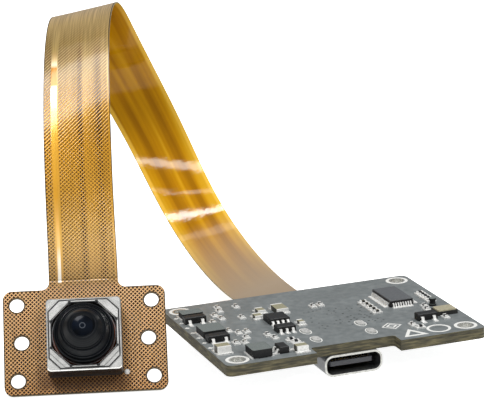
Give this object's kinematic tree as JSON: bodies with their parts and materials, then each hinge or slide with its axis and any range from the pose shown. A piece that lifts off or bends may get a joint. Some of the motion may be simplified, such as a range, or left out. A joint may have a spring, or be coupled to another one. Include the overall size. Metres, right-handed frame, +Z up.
{
  "type": "autofocus camera module",
  "caption": "Camera module: an autofocus camera head on a flexible ribbon that arches over to a small control board with a USB-C receptacle.",
  "frame": {"origin": "middle of the four mounting holes of the control board, on its top face", "axes": "+Z up, out of the board's top face; +X to the right along the board, seen from its USB side; +Y from the USB side to the back edge, under which the ribbon goes"},
  "size_m": [0.0685, 0.0637, 0.0485],
  "materials": {
    "film": "polyimide film over hatched copper",
    "stiffener": "smooth",
    "board": "satin solder mask",
    "steel": "satin",
    "can_steel": "satin nickel",
    "solder": "bright",
    "gold_contact": "bright",
    "black_plastic": "moulded",
    "grey_plastic": "moulded",
    "beige_plastic": "moulded",
    "lens_black": "moulded",
    "spring_bronze": "bright",
    "magnet_nickel": "satin",
    "copper_wire": "enamelled",
    "lens_glass": "coated",
    "filter_glass": "coated",
    "silicon": "polished",
    "chip_epoxy": "moulded",
    "ferrite": "matt",
    "tinned_lead": "satin",
    "crystal_ceramic": "matt",
    "crystal_lid_metal": "satin",
    "capacitor_ceramic": "matt",
    "resistor_ceramic": "glazed"
  },
  "bodies": {
    "module": {"circuit_board": "board", "usb_shell": "steel", "leg_solder": "solder", "usb_tongue": "grey_plastic", "usb_contacts": "gold_contact", "flex_circuit": "film", "head_stiffener": "stiffener", "tail_stiffener": "stiffener", "image_sensor": "silicon", "sensor_holder": "black_plastic", "infrared_filter": "filter_glass", "solder_bead": "solder", "actuator_base": "black_plastic", "lower_spring": "spring_bronze", "upper_spring": "spring_bronze", "corner_magnets": "magnet_nickel", "actuator_can": "can_steel", "ribbon_receptacle": "beige_plastic", "ribbon_plug": "beige_plastic", "receptacle_contacts": "gold_contact", "plug_contacts": "gold_contact", "bridge_chip": "chip_epoxy", "bridge_chip_leads": "tinned_lead", "memory_chip": "chip_epoxy", "memory_chip_leads": "tinned_lead", "regulator": "chip_epoxy", "regulator_leads": "tinned_lead", "transistors": "chip_epoxy", "transistor_leads": "tinned_lead", "power_inductors": "ferrite", "inductor_terminals": "tinned_lead", "drum_inductor": "ferrite", "crystal_base": "crystal_ceramic", "crystal_lid": "crystal_lid_metal", "large_chips": "capacitor_ceramic", "large_chip_ends": "tinned_lead", "capacitors": "capacitor_ceramic", "capacitor_ends": "tinned_lead", "resistors": "resistor_ceramic", "resistor_ends": "tinned_lead"},
    "lens_group": {"lens_carrier": "black_plastic", "focus_coil": "copper_wire", "lens_barrel": "lens_black", "front_lens": "lens_glass", "middle_lens": "lens_glass", "rear_lens": "lens_glass", "lens_spacers": "lens_black", "lens_retainer": "lens_black"}
  },
  "joints": [
    {"name": "lens_focus", "type": "slide", "parent": "module", "child": "lens_group", "axis": [-0.2562, -0.7885, 0.5592], "range_m": [0, 0.00025], "stiffness_N_per_m": 60, "springref_m": -0.0001}
  ]
}
